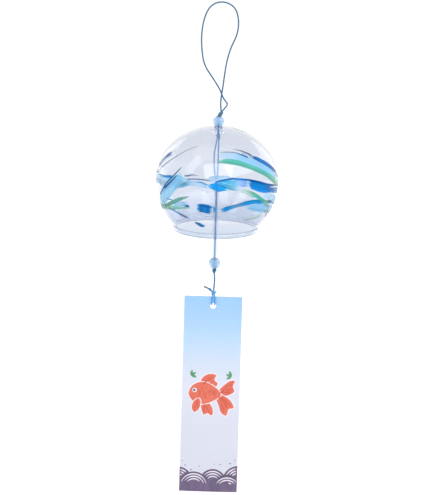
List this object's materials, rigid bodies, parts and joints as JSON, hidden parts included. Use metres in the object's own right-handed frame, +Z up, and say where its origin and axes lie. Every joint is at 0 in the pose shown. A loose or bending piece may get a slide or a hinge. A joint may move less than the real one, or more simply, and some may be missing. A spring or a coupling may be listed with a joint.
{
  "type": "wind bell",
  "caption": "Clear blown-glass wind bell on a doubled cord, with a glass tube clapper between beads and a paper strip that catches the wind.",
  "frame": {"origin": "the point inside the top of the hanging loop where a hook bears, which is the mount hang_loop", "axes": "+Z up, with the bell and the strip plumb below the origin; the strip's printed face looks along -Y, and +X is to the right as it is read"},
  "size_m": [0.08, 0.08, 0.3308],
  "materials": {
    "cord": "matte",
    "bell_glass": "gloss",
    "tube_glass": "gloss",
    "clear_ring": "gloss",
    "bead": "gloss",
    "paper": "matte"
  },
  "bodies": {
    "loop": {"hanging_loop": "cord"},
    "top_knot": {"top_knot": "cord"},
    "top_bead": {"top_bead": "bead"},
    "crown_cord": {"neck_strands": "cord"},
    "crown_stopper": {"crown_stopper": "clear_ring"},
    "bell": {"glass_bell": "bell_glass"},
    "inner_knot": {"inner_knot": "cord"},
    "clapper": {"clapper_strand_left": "cord", "clapper_strand_right": "cord"},
    "clapper_tube": {"clapper_tube": "tube_glass"},
    "lower_bead": {"lower_bead": "bead"},
    "lower_knot": {"lower_knot": "cord"},
    "strip_cord": {"strip_cord": "cord"},
    "tie_knot": {"tie_knot": "cord", "long_tail": "cord", "short_tail": "cord"},
    "tie_loop": {"tie_loop": "cord"},
    "strip": {"paper_strip": "paper"}
  },
  "joints": [
    {"name": "bell_sway", "type": "hinge", "parent": "loop", "child": "top_knot", "pos_m": [0, 0, -0.07538], "axis": [0, 1, 0], "range_deg": [-30, 30]},
    {"name": "bell_nod", "type": "hinge", "parent": "top_knot", "child": "top_bead", "pos_m": [0, 0, -0.07538], "axis": [1, 0, 0], "range_deg": [-30, 30]},
    {"name": "bell_turn", "type": "hinge", "parent": "top_bead", "child": "crown_cord", "pos_m": [0, 0, -0.07538], "axis": [0, 0, 1], "range_deg": [-180, 180]},
    {"name": "bell_rock_side", "type": "hinge", "parent": "crown_cord", "child": "crown_stopper", "pos_m": [0, 0, -0.0847], "axis": [0, 1, 0], "range_deg": [-6, 6]},
    {"name": "bell_rock_front", "type": "hinge", "parent": "crown_stopper", "child": "bell", "pos_m": [0, 0, -0.0847], "axis": [1, 0, 0], "range_deg": [-6, 6]},
    {"name": "clapper_sway", "type": "hinge", "parent": "crown_cord", "child": "inner_knot", "pos_m": [0, 0, -0.09021], "axis": [0, 1, 0], "range_deg": [-20, 20]},
    {"name": "clapper_nod", "type": "hinge", "parent": "inner_knot", "child": "clapper", "pos_m": [0, 0, -0.09021], "axis": [1, 0, 0], "range_deg": [-20, 20]},
    {"name": "tube_turn", "type": "hinge", "parent": "clapper", "child": "clapper_tube", "pos_m": [0, 0, -0.1485], "axis": [0, 0, 1], "continuous": true},
    {"name": "lower_bead_turn", "type": "hinge", "parent": "clapper", "child": "lower_bead", "pos_m": [0, 0, -0.1753], "axis": [0, 0, 1], "continuous": true},
    {"name": "strip_sway", "type": "hinge", "parent": "clapper", "child": "lower_knot", "pos_m": [0, 0, -0.18006], "axis": [0, 1, 0], "range_deg": [-30, 30]},
    {"name": "strip_nod", "type": "hinge", "parent": "lower_knot", "child": "strip_cord", "pos_m": [0, 0, -0.18006], "axis": [1, 0, 0], "range_deg": [-30, 30]},
    {"name": "strip_twist", "type": "hinge", "parent": "strip_cord", "child": "tie_knot", "pos_m": [0, 0, -0.1954], "axis": [0, 0, 1], "range_deg": [-180, 180]},
    {"name": "strip_flap", "type": "hinge", "parent": "tie_knot", "child": "tie_loop", "pos_m": [0, 0, -0.1954], "axis": [1, 0, 0], "range_deg": [-40, 40]},
    {"name": "strip_swing", "type": "hinge", "parent": "tie_loop", "child": "strip", "pos_m": [0, 0, -0.2042], "axis": [0, 1, 0], "range_deg": [-22, 22]}
  ]
}
